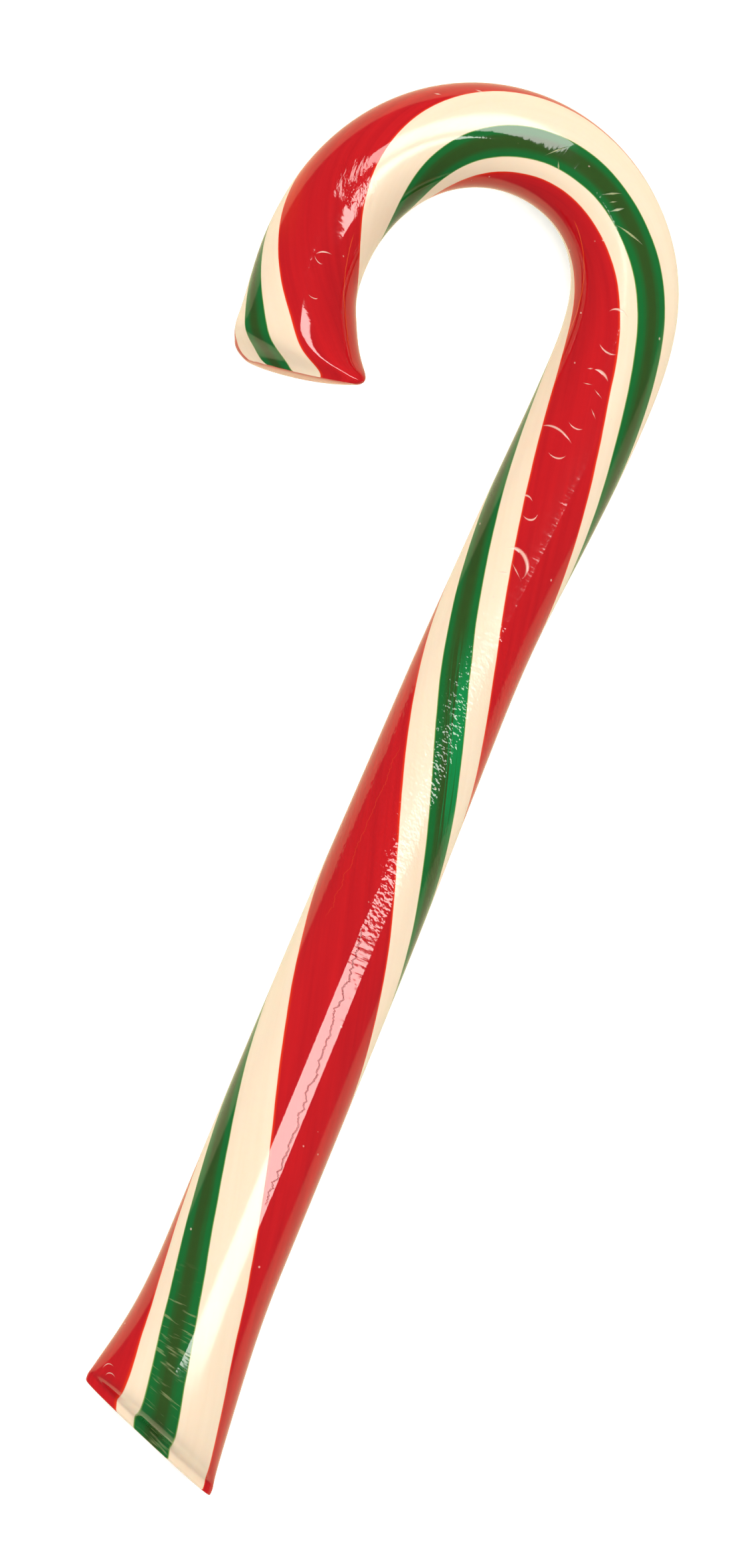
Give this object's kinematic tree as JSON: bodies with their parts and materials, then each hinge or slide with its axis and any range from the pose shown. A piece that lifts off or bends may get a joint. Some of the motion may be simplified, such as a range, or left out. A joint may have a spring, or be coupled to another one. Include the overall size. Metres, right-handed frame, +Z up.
{
  "type": "candy cane",
  "caption": "Hard candy cane of boiled sugar with twisted red, green and cream stripes, hooked at the top and snipped at both ends, lying on its side.",
  "frame": {"origin": "middle of the cane's footprint, on the surface it lies on", "axes": "+Y along the shaft towards the hook, +Z up out of the surface, the hook curls over towards -X"},
  "size_m": [0.0476, 0.152, 0.0128],
  "materials": {
    "candy": "glossy boiled sugar, red with cream and dark green stripes"
  },
  "bodies": {
    "root": {"cane": "candy"}
  },
  "joints": []
}
